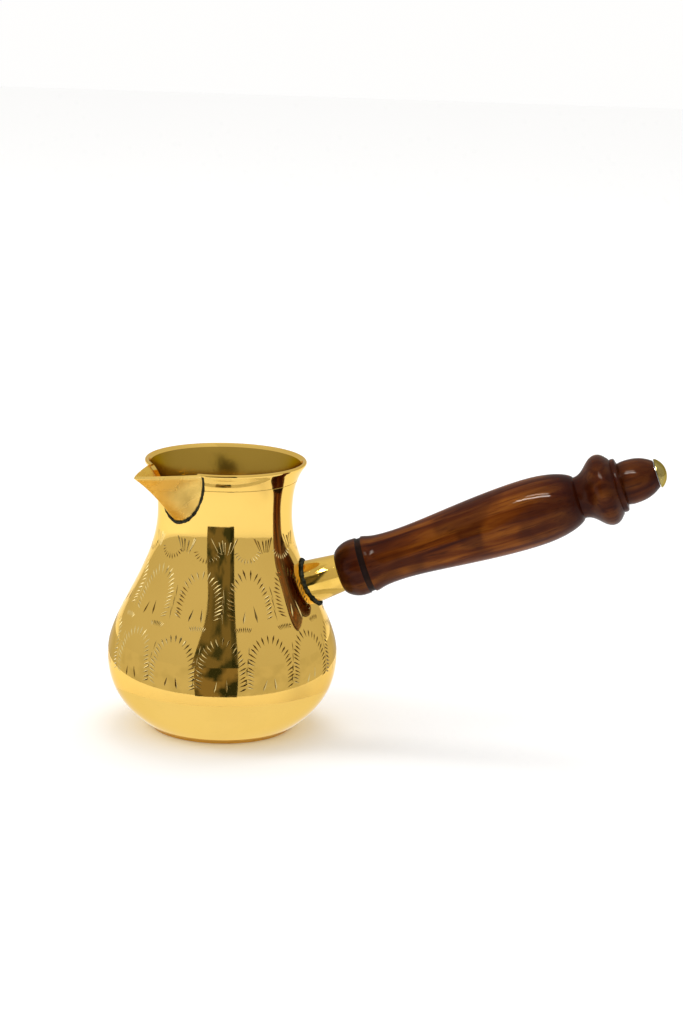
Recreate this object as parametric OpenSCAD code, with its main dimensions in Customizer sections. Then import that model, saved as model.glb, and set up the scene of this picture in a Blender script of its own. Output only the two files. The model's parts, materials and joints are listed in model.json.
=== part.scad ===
// Brass coffee pot with a soldered beak spout and a turned wooden handle on a screw.
// Millimetres. Origin: centre of the flat base. +Z up, +X towards the handle.

/* [Pot] */
// Outer diameter of the belly at its widest ring
belly_d = 86; // [76:1:104]
// Height of the widest ring above the base
belly_z = 28; // [24:1:34]
// Diameter of the flat base, over its edge
base_d = 53.2; // [44:1:62]
// Outer diameter of the neck at its narrowest ring
neck_d = 50; // [45:0.2:56]
// Height of the rim above the base
rim_z = 102; // [90:0.2:122]
// Height of the flare, from the narrowest ring up to the rim
flare_h = 19.8; // [17:0.2:24]
// Widening of the flare, from the neck's radius to the rim's
flare_w = 5; // [4:0.1:7]
// Thickness of the brass wall and of the rounded rim
wall = 1.6; // [1.2:0.1:2.4]
// Thickness of the flat floor
floor_t = 1.8; // [1.4:0.1:3]

/* [Spout] */
// Direction of the spout, in degrees round the pot from the handle
spout_turn = -127.3; // [-150:0.1:-90]
// How far the tip of the spout stands out from the rim
spout_out = 17.4; // [14:0.1:22]
// Height of the soldered seam, from its lowest point up to the rim
spout_h = 20; // [16:0.5:23]
// Angle from the middle of the spout to its seam at the rim, in degrees
spout_half = 27; // [22:0.5:32]
// Thickness of the sheet that the spout is folded from
spout_t = 1; // [0.8:0.1:1.4]
// Drop of the spout's top edge below the rim
spout_drop = 0.8; // [0.3:0.1:2]
// Sheet left inside the seam round the pouring notch
notch_margin = 2.2; // [1.6:0.1:3]

/* [Solder] */
// Width of the solder bead round the spout
seam_w = 1.1; // [0.8:0.1:1.6]
// Width of the solder collar round the socket, on the wall
collar_w = 1.1; // [0.8:0.1:2]
// Thickness of the solder collar, off the wall
collar_t = 1; // [0.6:0.1:1.4]

/* [Socket] */
// Drop from the neck's narrowest ring to where the handle's axis crosses the pot's axis
axis_drop = 37.8; // [32:0.2:44]
// Rise of the handle's axis, in degrees above level
axis_rise = 20.3; // [10:0.1:24]
// Length of the socket along its axis, from the outside of the wall to the wood
socket_l = 12.1; // [10:0.1:20]
// Inner diameter of the socket
socket_bore_d = 10.6; // [9.4:0.1:12.8]
// Thickness of the spigot's wall
spigot_wall = 1.3; // [1:0.1:1.8]
// Width of the shoulder round the spigot, where the socket meets the wood
shoulder_w = 0.5; // [0.3:0.1:1]
// Taper of the socket, in millimetres of diameter over each millimetre of length
socket_taper = 0.2; // [0.1:0.01:0.24]
// Length of the spigot that enters the wood
spigot_l = 6; // [4:0.5:9]

/* [Tie rod] */
// Diameter of the steel rod, over its thread
rod_d = 5; // [4:0.5:6]
// Lead of the thread, the travel in one turn
lead = 0.8; // [0.7:0.1:1]
// Whole turns that draw the rod out of its nut
turns = 12; // [8:1:14]
// Radial clearance of the rod in the nut's thread
thread_gap = 0.05; // [0.02:0.01:0.08]
// Radial clearance round the rod in the wood
rod_gap = 0.4; // [0.3:0.1:0.8]

/* [Handle] */
// Length of the wooden handle
wood_l = 122.5; // [118:0.1:136]
// Diameter of the rounded bead in front
bead_d = 21.4; // [20.6:0.1:23]
// Diameter of the waist behind the burned groove
waist_d = 18.6; // [18:0.1:20]
// Diameter of the grip at its thickest
grip_d = 25.3; // [23:0.1:28]
// Diameter of the neck between grip and ring
handle_neck_d = 15.9; // [14:0.1:17]
// Diameter of the large turned ring
ring_d = 26.8; // [24:0.1:30]
// Diameter of the small step behind the large ring
step_d = 20; // [18:0.1:22]
// Diameter of the acorn at the end
acorn_d = 16.4; // [15.4:0.1:18]

/* [Cap nut] */
// How far the domed cap stands past the wood's end face, all round
cap_lap = 0.25; // [0.1:0.05:0.6]
// Height of the domed cap
cap_h = 3.4; // [2.6:0.1:4.4]
// Wall of the cap's barrel, round the rod
barrel_wall = 0.8; // [0.6:0.1:1]
// Length of the barrel under the cap
barrel_l = 9; // [7:0.5:12]
// Width of the ring of the steel washer under the cap
washer_w = 1.1; // [0.8:0.1:1.4]
// Thickness of the steel washer
washer_t = 0.8; // [0.6:0.1:1.2]

/* [Hidden] */
$fn = 96;

// fits
seat_gap = 0.1;           // between the spigot's end and the bottom of its seat
spigot_gap = 0.3;         // radial, round the spigot in the wood
barrel_gap = 0.1;         // radial, round the cap's barrel
washer_proud = 0.3;       // the cap sits this far off the wood, on the washer
washer_gap = 0.2;         // radial, round the washer in its seat
clamp_gap = 0.05;         // between the washer and the cap that turns on it
rod_end_gap = 0.5;        // between the rod's end and the bottom of the cap's thread
edge_r = 0.5;             // small rounded corner of the base
over = 1;                 // cutters run this far past the face they cut

// sizes that follow from the ones above
neck_z = rim_z - flare_h;
rim_d = neck_d + 2 * flare_w;
axis_z = neck_z - axis_drop;
spigot_d = socket_bore_d + 2 * spigot_wall;
socket_end_d = spigot_d + 2 * shoulder_w;
barrel_d = rod_d + 2 * barrel_wall;
washer_d = barrel_d + 2 * washer_w;
end_land = 0.8;           // wood left round the washer on the end face
end_d = washer_d + 2 * end_land;
cap_d = end_d + 2 * cap_lap;

// pot profile: slopes and the pull of each curve's ends
base_angle = 38;          // slope of the belly where it leaves the base
rim_angle = 54;           // slope of the flare at the rim
base_pull = 6.3;
belly_pull_low = 0.6 * belly_z;
belly_pull_high = 0.29 * (neck_z - belly_z);
neck_pull_low = 0.39 * (neck_z - belly_z);
neck_pull_high = 0.4 * (rim_z - neck_z);
rim_pull = 0.33 * (rim_z - neck_z);
curve_steps = 14;
lip_steps = 8;

// places along the handle's axis, from the wood's front face
nut_from = spigot_l - (turns + 1) * lead;   // one turn of thread still holds at the end
cap_from = wood_l + washer_proud;
rod_to = cap_from - rod_end_gap;
barrel_from = cap_from - barrel_l;
washer_from = cap_from - clamp_gap - washer_t;

// a cubic curve through two ends with two pulls
function curve(a, b, c, d, n) =
    [for (i = [0 : n]) let (t = i / n, s = 1 - t)
        s * s * s * a + 3 * s * s * t * b + 3 * s * t * t * c + t * t * t * d];

// all but the first point, to join one curve to the next
function tail(p) = [for (i = [1 : len(p) - 1]) p[i]];

function unit2(v) = v / norm(v);

// outer wall from the base's edge to the rim's end, as [radius, height]
rim_dir = [cos(rim_angle), sin(rim_angle)];
rim_end = [rim_d / 2 - wall / 2 * (1 - rim_dir[1]), rim_z - wall / 2 * (1 + rim_dir[0])];
base_start = [base_d / 2, edge_r];
outer_wall = concat(
    curve(base_start, base_start + base_pull * [cos(base_angle), sin(base_angle)],
        [belly_d / 2, belly_z - belly_pull_low], [belly_d / 2, belly_z], curve_steps),
    tail(curve([belly_d / 2, belly_z], [belly_d / 2, belly_z + belly_pull_high],
        [neck_d / 2, neck_z - neck_pull_low], [neck_d / 2, neck_z], curve_steps)),
    tail(curve([neck_d / 2, neck_z], [neck_d / 2, neck_z + neck_pull_high],
        rim_end - rim_pull * rim_dir, rim_end, curve_steps)));

// unit direction along the wall at point i, and the outer wall moved in by t
function along(i) = unit2(outer_wall[min(i + 1, len(outer_wall) - 1)] - outer_wall[max(i - 1, 0)]);
function moved_in(t) =
    [for (i = [0 : len(outer_wall) - 1]) outer_wall[i] + t * [-along(i)[1], along(i)[0]]];

// radius of the outer wall at height z, by straight lines between its points
function wall_r(z, i = 0) =
    i >= len(outer_wall) - 2 || outer_wall[i + 1][1] >= z
        ? let (a = outer_wall[i], b = outer_wall[i + 1])
            a[0] + (b[0] - a[0]) * (z - a[1]) / (b[1] - a[1])
        : wall_r(z, i + 1);

// the rounded lip, a half circle from the outer wall to the inner one
function lip() =
    let (n = [-rim_dir[1], rim_dir[0]], c = rim_end + wall / 2 * n)
        [for (i = [1 : lip_steps - 1]) let (a = 180 * i / lip_steps)
            c + wall / 2 * (rim_dir * sin(a) - n * cos(a))];

module pot_profile() {
    inner = [for (p = moved_in(wall)) if (p[1] > floor_t + edge_r) p];
    back = [for (i = [len(inner) - 1 : -1 : 0]) inner[i]];
    polygon(concat([[0, 0], [base_d / 2 - edge_r, 0]], outer_wall, lip(), back,
        [[inner[0][0] - 2 * edge_r, floor_t], [0, floor_t]]));
}

// the pot's outside as one solid, grown by t
module outside(t = 0) {
    grown = moved_in(-t);
    rotate_extrude()
        polygon(concat([[0, -t], [base_d / 2, -t]], grown, [[0, rim_z + t]]));
}

// distance along the handle's axis from the pot's axis to the outside of the wall, in n steps
function to_wall(n) = n == 0 ? belly_d / 2
    : wall_r(axis_z + to_wall(n - 1) * sin(axis_rise)) / cos(axis_rise);

wood_at = to_wall(16) + socket_l;
socket_root_d = socket_end_d + socket_taper * wood_at;

module on_spout() {
    rotate([0, 0, spout_turn]) children();
}

// from the pot's frame to the handle's: +Z along its axis, zero at the wood's face
module on_handle() {
    translate([0, 0, axis_z]) rotate([0, 90 - axis_rise, 0]) translate([0, 0, wood_at]) children();
}

// ---- spout, in its own frame: +X runs out through its tip ----
spout_low = rim_z - spout_h;
spout_top = rim_z - spout_drop;
first_row = 4;            // degrees, so that the lowest row keeps some width
spout_rows = 14;
spout_cols = 12;          // from the seam to the keel
keel_power = 0.85;        // how full the keel is
side_power = 1.2;         // how full the sides are
seam_steps = 20;
notch_steps = 20;
bead_swell = 0.35;        // how full the solder's face is
bead_gap = 0.04;          // keeps the solder's flat facets clear of the sheet's and the wall's

// Half an ellipse on the wall, its low point on the middle line, set in from the seam by m.
// It gives [angle round the pot, height] at turn q, from -90 at one end to 90 at the other.
function on_ellipse(q, m) =
    let (half = spout_half - m / (rim_d / 2) * 180 / PI, low = spout_low + m)
        [half * sin(q), low + (spout_top - low) * (1 - cos(q))];

function on_wall(p) = [wall_r(p[1]) * cos(p[0]), wall_r(p[1]) * sin(p[0]), p[1]];

// distance of the keel from the pot's axis at height z
function keel_r(z) =
    let (t = max(0, z - spout_low) / (spout_top - spout_low))
        wall_r(z) + spout_out * pow(t, keel_power);

// how much further the keel moves out than up, at height z
function keel_slope(z) = let (d = 0.2) (keel_r(z) - keel_r(z - d)) / d;

// a point between the seam's angle a and the keel, at v from -1 to 1 across the spout
function across(a, z, v, keel) =
    let (seam = on_wall([a, z]))
        [keel - (keel - seam[0]) * pow(abs(v), side_power), seam[1] * v, z];

// one face of the sheet at turn q of its own seam, set in by m, with its keel moved in by t
function sheet_row(q, m, t) =
    let (e = on_ellipse(q, m), z = e[1], s = keel_slope(z),
        keel = max(keel_r(z) - t * sqrt(1 + s * s), on_wall(e)[0] + t / 10))
        [for (j = [-spout_cols : spout_cols]) across(e[0], z, j / spout_cols, keel)];

function reversed(p) = [for (i = [len(p) - 1 : -1 : 0]) p[i]];

// a solid through rings of equally many points; each cap joins the ring's two halves
module skin(rings) {
    n = len(rings[0]);
    last = (len(rings) - 1) * n;
    sides = [for (i = [0 : len(rings) - 2]) for (j = [0 : n - 1])
        let (a = i * n + j, b = i * n + (j + 1) % n)
            each [[a, b + n, b], [a, a + n, b + n]]];
    caps = [for (j = [0 : n / 2 - 2])
        let (k = n - 1 - j)
            each [[j, k - 1, k], [j, j + 1, k - 1],
                [last + j, last + k, last + k - 1], [last + j, last + k - 1, last + j + 1]]];
    polyhedron([for (r = rings) each r], concat(sides, caps));
}

// the sheet meets the wall at a slant, so its edge there is wider than the sheet is thick
sheet_lap = 1.7 * spout_t;
sheet_deep = 1.3 * spout_t;

module spout() {
    color("goldenrod") on_spout()
        skin([for (i = [0 : spout_rows])
            let (q = first_row + (90 - first_row) * i / spout_rows)
                concat(sheet_row(q, 0, 0), reversed(sheet_row(q, sheet_lap, sheet_deep)))]);
}

// a point of the sheet's outside near the seam, for the solder
function on_sheet(e) =
    let (u = 1 - (e[1] - spout_low) / (spout_top - spout_low),
        a = max(0.1, spout_half * sqrt(1 - u * u)))
        across(a, e[1], e[0] / a, keel_r(e[1]));

module spout_solder() {
    color("dimgray") on_spout()
        skin([for (i = [0 : seam_steps])
            let (q = -90 + 180 * i / seam_steps,
                root = on_wall(on_ellipse(q, 0)),
                low = on_wall(on_ellipse(q, -seam_w)),
                high = on_sheet(on_ellipse(q, seam_w)),
                face = (low + high) / 2 + bead_swell * ((low + high) / 2 - root),
                lift = bead_gap * unit2((low + high) / 2 - root))
                [root + lift, high + lift, face, low + lift]]);
}

// the pouring notch: a half ellipse on the wall, cut through in the spout's direction
module notch() {
    edge = [for (i = [-notch_steps : notch_steps])
        let (e = on_ellipse(90 * i / notch_steps, notch_margin))
            [on_wall(e)[1], e[1]]];
    on_spout() rotate([90, 0, 90]) linear_extrude(rim_d)
        polygon(concat([[edge[0][0], rim_z + wall]], edge,
            [[edge[len(edge) - 1][0], rim_z + wall]]));
}

// ---- pot ----
module pot_body() {
    color("gold") difference() {
        rotate_extrude() pot_profile();
        notch();
    }
}

// ---- socket, solder and nut ----
module socket_cone(extra) {
    cylinder(h = wood_at, d1 = socket_root_d + extra, d2 = socket_end_d + extra);
}

module handle_socket() {
    color("khaki") difference() {
        on_handle() difference() {
            union() {
                translate([0, 0, -wood_at]) socket_cone(0);
                cylinder(h = spigot_l, d = spigot_d);
            }
            translate([0, 0, -wood_at]) cylinder(h = wood_at + 2 * spigot_l, d = socket_bore_d);
        }
        outside();
    }
}

module socket_solder() {
    color("gray") difference() {
        intersection() {
            on_handle() translate([0, 0, -wood_at]) socket_cone(2 * collar_w);
            outside(collar_t);
        }
        outside();
        on_handle() translate([0, 0, -wood_at]) socket_cone(0);
    }
}

module socket_nut() {
    color("peru") on_handle() translate([0, 0, nut_from]) difference() {
        cylinder(h = spigot_l - nut_from, d = socket_bore_d);
        translate([0, 0, -over])
            cylinder(h = spigot_l - nut_from + 2 * over, d = rod_d + 2 * thread_gap);
    }
}

// ---- handle ----
// Places along the turned wood. The front ones are from its front face, the rest from its end.
bead_at = 7;
groove_at = [8.9, 9.3, 10.6, 11.3];      // burned groove: edge, floor, floor, edge
waist_at = 22.5;
grip_at = wood_l - 49.2;
neck_at = wood_l - 29.9;
ring_at = wood_l - 19.7;
crease_at = wood_l - 15.5;
step_at = wood_l - 14.8;
acorn_at = wood_l - 12.8;
widest_acorn = wood_l - 9.7;
step_l = 1.5;

// Radii that the diameters above do not give.
face_r = socket_end_d / 2 + 0.5;
groove_depth = 0.5;
chamfer = 0.3;
acorn_foot = 0.35;
crease_r = step_d / 2 + 0.7;

// How far each curve runs on in its own direction before it bends.
face_pull = [0.6, 1.1];
bead_pull = 3.8;
groove_pull = 2.3;
waist_pull = [9, 12];
grip_pull = [19, 14.5];
cove_pull = [0.2, 0.8];
neck_pull = 4.5;
ring_pull = [4.2, 2.2];
crease_pull = 0.9;
acorn_pull = [1.2, 1, 4.5];
end_pull = [2.1, 1.6];

bead_r = bead_d / 2;
waist_r = waist_d / 2;
grip_r = grip_d / 2;
thin_r = handle_neck_d / 2;
ring_r = ring_d / 2;
step_r = step_d / 2;
acorn_r = acorn_d / 2;
end_r = end_d / 2;

// the wood's outline from front to end, as [place along the axis, radius]
wood_outline = concat(
    curve([0, face_r], [face_pull[0], face_r + face_pull[1]],
        [bead_at - bead_pull, bead_r], [bead_at, bead_r], 8),
    [[groove_at[0], bead_r - chamfer / 3],
        [groove_at[1], bead_r - groove_depth],
        [groove_at[2], bead_r - groove_depth]],
    curve([groove_at[3], bead_r - chamfer / 3], [groove_at[3] + groove_pull, bead_r - chamfer],
        [waist_at - waist_pull[0], waist_r], [waist_at, waist_r], 8),
    tail(curve([waist_at, waist_r], [waist_at + waist_pull[1], waist_r],
        [grip_at - grip_pull[0], grip_r], [grip_at, grip_r], 12)),
    tail(curve([grip_at, grip_r], [grip_at + grip_pull[1], grip_r],
        [neck_at - cove_pull[0], thin_r + cove_pull[1]], [neck_at, thin_r + chamfer], 10)),
    curve([neck_at + chamfer, thin_r - chamfer / 3], [neck_at + chamfer + neck_pull, thin_r],
        [ring_at - ring_pull[0], ring_r], [ring_at, ring_r], 12),
    tail(curve([ring_at, ring_r], [ring_at + ring_pull[1], ring_r],
        [crease_at - crease_pull, crease_r + crease_pull], [crease_at, crease_r], 6)),
    [[step_at - chamfer, step_r],
        [step_at, step_r + chamfer / 2],
        [step_at + step_l - chamfer, step_r],
        [step_at + step_l, step_r - chamfer]],
    curve([acorn_at, acorn_r - acorn_foot], [acorn_at + acorn_pull[0], acorn_r],
        [widest_acorn - acorn_pull[1], acorn_r], [widest_acorn, acorn_r], 3),
    tail(curve([widest_acorn, acorn_r], [widest_acorn + acorn_pull[2], acorn_r],
        [wood_l - chamfer - end_pull[0], end_r + end_pull[1]], [wood_l - chamfer, end_r], 8)),
    [[wood_l, end_r - chamfer / 2]]);

module wooden_handle() {
    color("saddlebrown") on_handle() difference() {
        rotate_extrude()
            polygon(concat([[0, 0]], [for (p = wood_outline) [p[1], p[0]]], [[0, wood_l]]));
        translate([0, 0, -over])
            cylinder(h = spigot_l + seat_gap + over, d = spigot_d + 2 * spigot_gap);
        cylinder(h = wood_l, d = rod_d + 2 * rod_gap);
        translate([0, 0, barrel_from - 2 * barrel_gap])
            cylinder(h = barrel_l, d = barrel_d + 2 * barrel_gap);
        translate([0, 0, washer_from])
            cylinder(h = 2 * washer_t, d = washer_d + 2 * washer_gap);
    }
}

module end_washer() {
    color("silver") on_handle() translate([0, 0, washer_from]) difference() {
        cylinder(h = washer_t, d = washer_d);
        translate([0, 0, -over]) cylinder(h = washer_t + 2 * over, d = barrel_d + 2 * barrel_gap);
    }
}

// ---- tie rod and cap nut, which turn as one screw ----
module tie_rod() {
    color("lightsteelblue") on_handle()
        translate([0, 0, nut_from]) cylinder(h = rod_to - nut_from, d = rod_d);
}

// the cap's dome is part of a ball over a straight rim
cap_rim_h = 0.5;
dome_h = cap_h - cap_rim_h;
dome_r = (pow(cap_d / 2, 2) + pow(dome_h, 2)) / (2 * dome_h);
dome_angle = asin(cap_d / 2 / dome_r);
dome_steps = 10;

module cap_nut() {
    dome = [for (i = [0 : dome_steps]) let (a = dome_angle * (1 - i / dome_steps))
        [dome_r * sin(a), cap_h - dome_r * (1 - cos(a))]];
    color("darkkhaki") on_handle() translate([0, 0, cap_from]) difference() {
        rotate_extrude()
            polygon(concat([[0, -barrel_l], [barrel_d / 2, -barrel_l], [barrel_d / 2, 0],
                [cap_d / 2, 0]], dome));
        translate([0, 0, -barrel_l - over])
            cylinder(h = barrel_l + over - rod_end_gap, d = rod_d);
    }
}

pot_body();
spout();
spout_solder();
handle_socket();
socket_solder();
socket_nut();
wooden_handle();
end_washer();
tie_rod();
cap_nut();
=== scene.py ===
import json
import math
import random

import bmesh
import bpy
from mathutils import Matrix, Vector


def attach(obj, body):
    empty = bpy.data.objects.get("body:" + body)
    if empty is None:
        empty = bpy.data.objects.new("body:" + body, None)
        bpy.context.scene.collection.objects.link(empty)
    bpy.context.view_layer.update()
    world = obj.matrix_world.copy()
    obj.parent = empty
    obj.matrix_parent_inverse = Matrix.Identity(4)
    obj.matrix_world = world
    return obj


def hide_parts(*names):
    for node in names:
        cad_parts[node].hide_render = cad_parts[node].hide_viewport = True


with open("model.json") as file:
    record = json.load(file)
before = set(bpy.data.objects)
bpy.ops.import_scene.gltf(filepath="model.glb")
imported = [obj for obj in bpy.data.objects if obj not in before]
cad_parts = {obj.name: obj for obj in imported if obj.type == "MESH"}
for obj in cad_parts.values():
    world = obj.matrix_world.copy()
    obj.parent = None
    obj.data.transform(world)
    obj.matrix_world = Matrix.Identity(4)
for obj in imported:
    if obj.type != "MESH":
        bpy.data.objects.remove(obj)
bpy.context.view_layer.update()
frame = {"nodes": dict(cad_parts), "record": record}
mm = 0.001
handmade = random.Random(11)      # one seeded source for every hand-cut irregularity


def clearSelection():
    if bpy.context.object and bpy.context.object.mode != "OBJECT":
        bpy.ops.object.mode_set(mode="OBJECT")
    bpy.ops.object.select_all(action="DESELECT")


def pick(piece):
    clearSelection()
    piece.select_set(True)
    bpy.context.view_layer.objects.active = piece


def editPiece(piece, select="DESELECT"):
    pick(piece)
    bpy.ops.object.mode_set(mode="EDIT")
    bpy.ops.mesh.select_all(action=select)


def leaveEdit():
    bpy.ops.object.mode_set(mode="OBJECT")


def curve(a, b, c, d, steps):
    # a cubic curve between a and d, pulled towards b and c
    points = []
    for i in range(steps + 1):
        t = i / steps
        s = 1 - t
        points.append(tuple(s**3 * p + 3 * s * s * t * q + 3 * s * t * t * r + t**3 * w
                            for p, q, r, w in zip(a, b, c, d)))
    return points


def tracePiece(name, outline, closed=False):
    # one vertex, extruded from point to point; the outline is [radius, height] in millimetres
    clearSelection()
    bpy.ops.mesh.primitive_plane_add(size=mm, location=(0, 0, 0))
    piece = bpy.context.object
    piece.name = name
    piece.data.name = name
    bpy.ops.object.mode_set(mode="EDIT")
    bpy.ops.mesh.select_all(action="SELECT")
    bpy.ops.mesh.merge(type="CENTER")
    bpy.ops.transform.translate(value=(outline[0][0] * mm, 0, outline[0][1] * mm))
    for here, there in zip(outline, outline[1:]):
        step = ((there[0] - here[0]) * mm, 0, (there[1] - here[1]) * mm)
        bpy.ops.mesh.extrude_vertices_move(TRANSFORM_OT_translate={"value": step})
    if closed:
        mesh = bmesh.from_edit_mesh(piece.data)
        for vert in mesh.verts:
            vert.select = len(vert.link_edges) == 1
        mesh.select_flush(True)
        bmesh.update_edit_mesh(piece.data)
        bpy.ops.mesh.edge_face_add()
    return piece


def turnPiece(name, outline, steps, closed=False):
    # the outline turned once round the upright axis, as on a lathe
    piece = tracePiece(name, outline, closed)
    bpy.ops.mesh.select_all(action="SELECT")
    bpy.ops.mesh.spin(steps=steps, angle=math.tau, center=(0, 0, 0), axis=(0, 0, 1))
    bpy.ops.mesh.select_all(action="SELECT")
    bpy.ops.mesh.remove_doubles(threshold=0.002 * mm)
    bpy.ops.mesh.normals_make_consistent(inside=False)
    leaveEdit()
    return piece


def applyBoolean(piece, cutter, operation="DIFFERENCE"):
    pick(piece)
    change = piece.modifiers.new("cut", "BOOLEAN")
    change.operation = operation
    change.solver = "MANIFOLD"
    change.object = cutter
    bpy.ops.object.modifier_apply(modifier=change.name)
    bpy.data.objects.remove(cutter, do_unlink=True)


def smooth(piece, angle=30):
    pick(piece)
    bpy.ops.object.shade_smooth_by_angle(angle=math.radians(angle))


def applyPlace(piece):
    pick(piece)
    bpy.ops.object.transform_apply(location=True, rotation=True, scale=True)


def facing(piece, test, slot):
    # gives the faces that pass the test their own material slot
    for face in piece.data.polygons:
        if test(face):
            face.material_index = slot


def addNode(tree, kind, **values):
    # in_ comes before the name of an input socket; other names are the node's own settings
    node = tree.nodes.new(kind)
    for key, value in values.items():
        if key.startswith("in_"):
            node.inputs[key[3:].replace("_", " ")].default_value = value
        else:
            setattr(node, key, value)
    return node


camera = dict(place=(0.10865, -1.00937, 0.31527), tilt=77.10, turn=3.70, roll=1.619, lens=98.44)
studio = dict(
    white=(1.0, 0.995, 0.985), seenWhite=1.0, fillWhite=0.98,
    # the tent as polished metal sees it, from the horizon up to overhead
    tent=((0.64, 0.62, 0.56), (0.68, 0.66, 0.61), (0.86, 0.85, 0.82)), tentMiddle=0.7,
    floorSize=6.0, floorWhite=(0.99, 0.99, 0.99),
    # softboxes: place, aim, size, watts
    softboxes=dict(
        leftBox=((-1.1, -0.25, 0.9), (0, 0, 0.06), (0.6, 0.6), 3.5),
        topBox=((0.1, 0.5, 1.5), (0, 0, 0.06), (0.9, 0.5), 4.5),
    ),
    # two bright bars that the lacquer mirrors: place, aim, size, brightness
    bars=dict(
        barOne=((-0.14, -0.64, 1.07), (0.150, -0.01, 0.115), (0.55, 0.075), 80.0),
        barTwo=((-0.14, -0.50, 1.17), (0.150, -0.01, 0.115), (0.42, 0.055), 60.0),
    ),
    # a pale card between the bars and the pot: place, size, brightness
    barShade=((-0.070, -0.115, 0.235), (0.20, 0.21), (0.70, 0.68, 0.63)),
    front=-83.86,     # the direction of the camera, in degrees round the pot
    # low curtains round the foot that only reflections see: radius, low, high, from, to,
    # lean of the left side and how late it starts, rise of the low edge at the sides, two colours
    curtains=dict(
        paleCurtain=(0.0580, 0.0125, 0.036, -180, 180, 0, 1, 0.006, (0.68, 0.655, 0.59), (0.60, 0.58, 0.51)),
        darkCurtain=(0.0572, 0.0125, 0.036, -17, 10, 0, 1, 0, (0.26, 0.20, 0.11), (0.03, 0.035, 0.02)),
        stand=(0.20, 0.046, 0.290, -27, 14, 30, 2.5, 0, (0.19, 0.155, 0.09), (0.045, 0.05, 0.03)),
        standEdge=(0.195, 0.046, 0.290, 9, 15, 0, 1, 0, (0.10, 0.09, 0.055), (0.02, 0.025, 0.015)),
    ),
    brightSheet=(0.0275, 0.057, 1.0),     # a glowing ring under the belly that only reflections see, a painted bright reflection on the lower belly: from, to, brightness
    sheetLift=0.3 * mm,
    cloudsAcross=5.5, cardReach=0.2,      # size of the drift in the curtains' and the cards' colours
)


def makeGlow(name, main, second):
    # light that drifts between two colours
    material = bpy.data.materials.new(name)
    material.use_nodes = True
    tree = material.node_tree
    tree.nodes.clear()
    reach = studio["curtains"].get(name, (studio["cardReach"],))[0]
    place = addNode(tree, "ShaderNodeTexCoord")
    cloud = addNode(tree, "ShaderNodeTexNoise", in_Scale=studio["cloudsAcross"] / reach, in_Detail=2.0)
    ramp = addNode(tree, "ShaderNodeValToRGB")
    ramp.color_ramp.elements[0].position = 0.42
    ramp.color_ramp.elements[0].color = (*main, 1)
    ramp.color_ramp.elements[1].position = 0.60
    ramp.color_ramp.elements[1].color = (*second, 1)
    glow = addNode(tree, "ShaderNodeEmission")
    out = addNode(tree, "ShaderNodeOutputMaterial")
    tree.links.new(place.outputs["Object"], cloud.inputs["Vector"])
    tree.links.new(cloud.outputs["Fac"], ramp.inputs["Fac"])
    tree.links.new(ramp.outputs["Color"], glow.inputs["Color"])
    tree.links.new(glow.outputs[0], out.inputs["Surface"])
    return material


def setCamera():
    clearSelection()
    bpy.ops.object.camera_add(location=camera["place"])
    eye = bpy.context.object
    eye.name = "camera"
    eye.data.lens = camera["lens"]
    eye.data.sensor_width = 36
    eye.data.clip_start = 0.01
    aim = Matrix.Rotation(math.radians(camera["turn"]), 3, "Z")
    aim = aim @ Matrix.Rotation(math.radians(camera["tilt"]), 3, "X")
    aim = aim @ Matrix.Rotation(math.radians(camera["roll"]), 3, "Z")
    eye.rotation_euler = aim.to_euler()
    bpy.context.scene.camera = eye


def whiteAt(strength):
    return tuple(v * strength for v in studio["white"]) + (1,)


def setWorld():
    # plain white to the camera, a shaded tent to reflections, and soft fill to the rest
    world = bpy.data.worlds.new("studio")
    world.use_nodes = True
    tree = world.node_tree
    link = tree.links.new
    back = tree.nodes["Background"]
    ray = addNode(tree, "ShaderNodeLightPath")
    place = addNode(tree, "ShaderNodeTexCoord")
    split = addNode(tree, "ShaderNodeSeparateXYZ")
    ramp = addNode(tree, "ShaderNodeValToRGB")
    ramp.color_ramp.elements[0].color = (*studio["tent"][0], 1)
    ramp.color_ramp.elements[1].color = (*studio["tent"][2], 1)
    ramp.color_ramp.elements.new(studio["tentMiddle"]).color = (*studio["tent"][1], 1)
    fill = addNode(tree, "ShaderNodeMix", data_type="RGBA", in_A=whiteAt(studio["fillWhite"]))
    seen = addNode(tree, "ShaderNodeMix", data_type="RGBA", in_B=whiteAt(studio["seenWhite"]))
    link(place.outputs["Generated"], split.inputs[0])
    link(split.outputs["Z"], ramp.inputs["Fac"])
    link(ramp.outputs["Color"], fill.inputs["B"])
    link(ray.outputs["Is Glossy Ray"], fill.inputs["Factor"])
    link(fill.outputs["Result"], seen.inputs["A"])
    link(ray.outputs["Is Camera Ray"], seen.inputs["Factor"])
    link(seen.outputs["Result"], back.inputs["Color"])
    bpy.context.scene.world = world
    bpy.context.scene.view_settings.view_transform = "Standard"


def setSoftboxes():
    for name, (place, aim, size, watts) in studio["softboxes"].items():
        clearSelection()
        bpy.ops.object.light_add(type="AREA", location=place)
        lamp = bpy.context.object
        lamp.name = name
        lamp.data.shape = "RECTANGLE"
        lamp.data.size = size[0]
        lamp.data.size_y = size[1]
        lamp.data.energy = watts
        lamp.visible_glossy = False
        lamp.rotation_euler = (Vector(aim) - lamp.location).to_track_quat("-Z", "Y").to_euler()


def setFloor():
    clearSelection()
    bpy.ops.mesh.primitive_plane_add(size=studio["floorSize"], location=(0, 0, 0))
    floor = bpy.context.object
    floor.name = "floor"
    paper = bpy.data.materials.new("pale paper")
    paper.use_nodes = True
    shader = paper.node_tree.nodes["Principled BSDF"]
    shader.inputs["Base Color"].default_value = (*studio["floorWhite"], 1)
    shader.inputs["Roughness"].default_value = 0.9
    shader.inputs["Specular IOR Level"].default_value = 0.1
    floor.data.materials.append(paper)


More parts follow.
